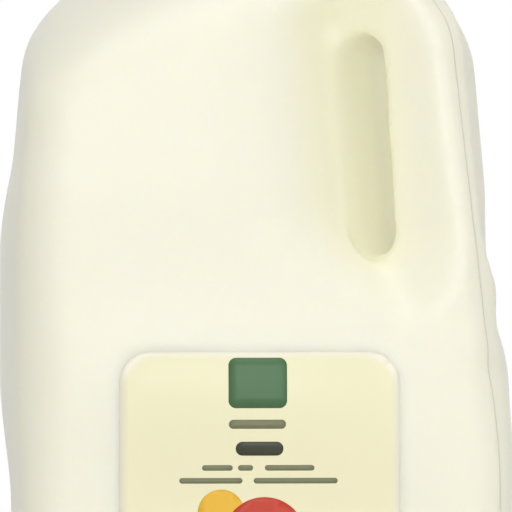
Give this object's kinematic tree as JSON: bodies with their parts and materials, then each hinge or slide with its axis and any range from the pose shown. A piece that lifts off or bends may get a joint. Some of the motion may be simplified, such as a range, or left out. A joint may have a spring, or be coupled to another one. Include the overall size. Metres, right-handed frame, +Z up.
{
  "type": "milk jug",
  "caption": "Square plastic milk jug with rounded shoulders, a moulded corner handle with a finger slot, a screw cap and a front label; it stands on a flat foot.",
  "frame": {"origin": "centre of the foot, on the surface the jug stands on", "axes": "+Z up through the neck and cap; -Y is the front face with the label; the handle stands at the corner between +X and -Y"},
  "size_m": [0.15, 0.1491, 0.2516],
  "materials": {
    "milky_plastic": "smooth, milky, slightly translucent",
    "label_film": "cream film with plain printed shapes",
    "cap_plastic": "moulded, ribbed"
  },
  "bodies": {
    "root": {"jug": "milky_plastic", "label": "label_film", "cap": "cap_plastic"}
  },
  "joints": []
}
